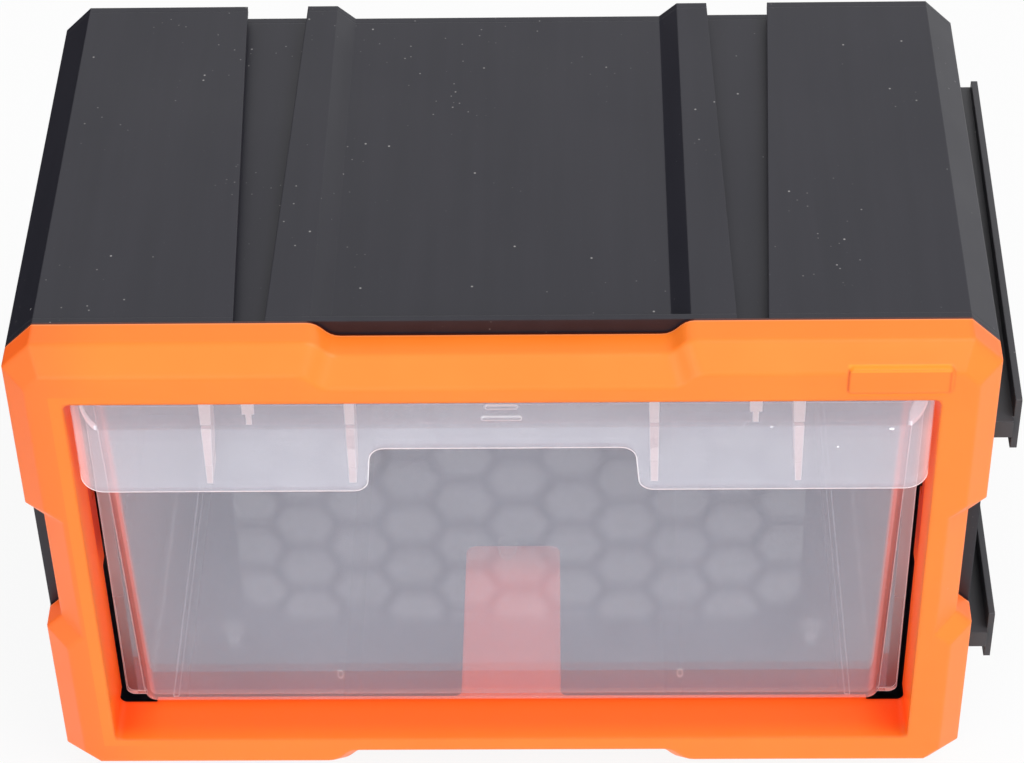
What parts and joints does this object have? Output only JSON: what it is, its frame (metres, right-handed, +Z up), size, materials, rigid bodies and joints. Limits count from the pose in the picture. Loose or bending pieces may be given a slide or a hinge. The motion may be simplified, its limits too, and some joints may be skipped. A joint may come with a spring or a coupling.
{
  "type": "stackable small parts drawer cabinet",
  "caption": "Small parts cabinet with a black shell, an orange bezel and a clear pull-out drawer, with slots and rails that lock it to its neighbours.",
  "frame": {"origin": "on the surface the cabinet stands on, midway between the two base rails and at the middle of the body's depth", "axes": "+X to the right seen from the front, +Y from the front to the back, +Z up"},
  "size_m": [0.2642, 0.1514, 0.166],
  "materials": {
    "black_plastic": "satin moulded",
    "orange_plastic": "satin moulded",
    "clear_plastic": "translucent gloss"
  },
  "bodies": {
    "cabinet": {"front_flange": "black_plastic", "honeycomb_back": "black_plastic", "top_panel": "black_plastic", "bottom_panel": "black_plastic", "left_side": "black_plastic", "right_side": "black_plastic", "lower_side_rail": "black_plastic", "upper_side_rail": "black_plastic", "left_base_rail": "black_plastic", "right_base_rail": "black_plastic", "front_bezel": "orange_plastic", "bezel_snap_hooks": "orange_plastic", "stop_tongue": "orange_plastic"},
    "drawer": {"drawer_bin": "clear_plastic", "drawer_rim": "clear_plastic", "drawer_handle": "clear_plastic", "handle_webs": "clear_plastic", "drawer_stop_tab": "clear_plastic"}
  },
  "joints": [
    {"name": "drawer_slide", "type": "slide", "parent": "cabinet", "child": "drawer", "axis": [0, -1, 0], "range_m": [0, 0.065]}
  ]
}
